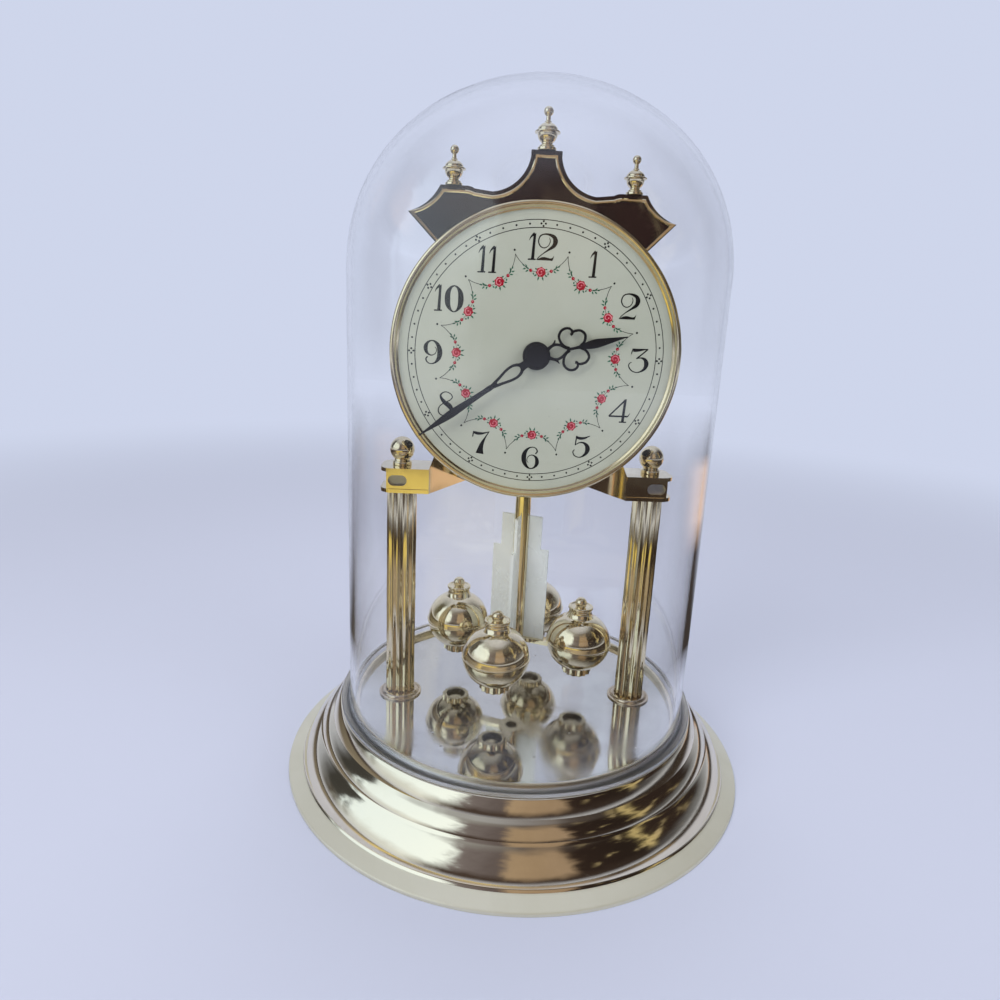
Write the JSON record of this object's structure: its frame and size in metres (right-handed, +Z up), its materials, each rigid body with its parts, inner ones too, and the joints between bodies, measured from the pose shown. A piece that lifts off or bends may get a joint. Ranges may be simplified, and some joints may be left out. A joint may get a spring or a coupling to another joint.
{
  "type": "desk pendulum clock",
  "caption": "Domed desk clock: round stepped base, two fluted columns, white dial with crowned bezel, and a rotating pendulum of polished balls under a clear dome.",
  "frame": {"origin": "centre of the round foot, on the table", "axes": "+Z up, the dial faces -Y, +X to the right as the dial is seen"},
  "size_m": [0.1662, 0.1662, 0.23],
  "materials": {
    "base_metal": "polished bands with a satin foot, pale champagne gold",
    "gold_metal": "polished pale gold plate",
    "mirror": "polished mirror",
    "clear_dome": "clear",
    "steel": "plain zinc-plated steel",
    "case_metal": "satin",
    "dial_paint": "satin off-white with printed numerals and flowers",
    "crown_panel": "dark gloss with a bright bead",
    "black_paint": "satin black",
    "black_plastic": "matte",
    "white_plastic": "smooth",
    "battery_wrap": "plain wrap",
    "brass": "turned",
    "copper": "lacquered copper wire",
    "board": "circuit board",
    "magnet": "sintered"
  },
  "bodies": {
    "frame": {"base_shell": "base_metal", "mirror_plate": "mirror", "left_column": "gold_metal", "right_column": "gold_metal", "column_flanges": "gold_metal", "tie_rods": "steel", "rod_nuts": "steel", "rod_washers": "steel", "ball_finials": "gold_metal", "bridge": "gold_metal", "case_screws": "steel", "dial_case": "case_metal", "dial": "dial_paint", "bezel": "gold_metal", "crown": "crown_panel", "crown_screws": "steel", "crown_finials": "gold_metal", "movement_housing": "black_plastic", "movement_cover": "black_plastic", "cover_screws": "steel", "battery": "battery_wrap", "positive_contact": "steel", "negative_contact": "steel", "bush_nut": "brass", "front_gear_plate": "black_plastic", "rear_gear_plate": "black_plastic", "plate_screws": "steel", "stator": "steel", "motor_coil": "copper", "circuit_board": "board", "chip": "black_plastic", "quartz_crystal": "steel", "drive_coil": "copper"},
    "dome": {"dome": "clear_dome"},
    "battery_door": {"battery_door": "black_plastic"},
    "minute_arbor": {"centre_wheel": "white_plastic", "minute_hand": "black_paint"},
    "hour_arbor": {"hour_wheel": "white_plastic", "hour_hand": "black_paint"},
    "motion_wheel": {"motion_wheel": "white_plastic"},
    "transfer_wheel": {"transfer_wheel": "white_plastic"},
    "rotor": {"rotor": "white_plastic"},
    "setting_knob": {"setting_knob": "white_plastic"},
    "pendulum": {"pendulum_spindle": "steel", "spindle_magnet": "magnet", "pendulum_cap": "gold_metal", "pendulum_tube": "gold_metal", "pendulum_vanes": "gold_metal", "ball_carrier": "gold_metal", "pendulum_balls": "gold_metal", "ball_collars": "gold_metal", "ball_nubs": "gold_metal", "ball_feet": "gold_metal"}
  },
  "joints": [
    {"name": "dome_lift", "type": "slide", "parent": "frame", "child": "dome", "axis": [0, 0, 1], "range_m": [0, 0.24]},
    {"name": "door_off", "type": "slide", "parent": "frame", "child": "battery_door", "axis": [0, 1, 0], "range_m": [0, 0.02]},
    {"name": "minute_turn", "type": "hinge", "parent": "frame", "child": "minute_arbor", "pos_m": [0, 0, 0.1482], "axis": [0, 1, 0], "continuous": true},
    {"name": "hour_turn", "type": "hinge", "parent": "frame", "child": "hour_arbor", "pos_m": [0, 0, 0.1482], "axis": [0, 1, 0], "continuous": true},
    {"name": "motion_turn", "type": "hinge", "parent": "frame", "child": "motion_wheel", "pos_m": [-0.00805, 0, 0.14015], "axis": [0, 1, 0], "continuous": true},
    {"name": "transfer_turn", "type": "hinge", "parent": "frame", "child": "transfer_wheel", "pos_m": [0.00848, 0, 0.1433], "axis": [0, 1, 0], "continuous": true},
    {"name": "rotor_turn", "type": "hinge", "parent": "frame", "child": "rotor", "pos_m": [0.01557, 0, 0.14205], "axis": [0, 1, 0], "continuous": true},
    {"name": "setting_turn", "type": "hinge", "parent": "frame", "child": "setting_knob", "pos_m": [-0.01286, 0, 0.15047], "axis": [0, 1, 0], "continuous": true},
    {"name": "pendulum_turn", "type": "hinge", "parent": "frame", "child": "pendulum", "pos_m": [0, 0.0064, 0.045], "axis": [0, 0, 1], "range_deg": [-135, 135]}
  ],
  "couplings": [
    {"joint": "hour_turn", "follows": "minute_turn", "ratio": 0.083333},
    {"joint": "motion_turn", "follows": "minute_turn", "ratio": -0.33333},
    {"joint": "setting_turn", "follows": "minute_turn", "ratio": 1},
    {"joint": "transfer_turn", "follows": "minute_turn", "ratio": -6},
    {"joint": "rotor_turn", "follows": "minute_turn", "ratio": 30}
  ]
}
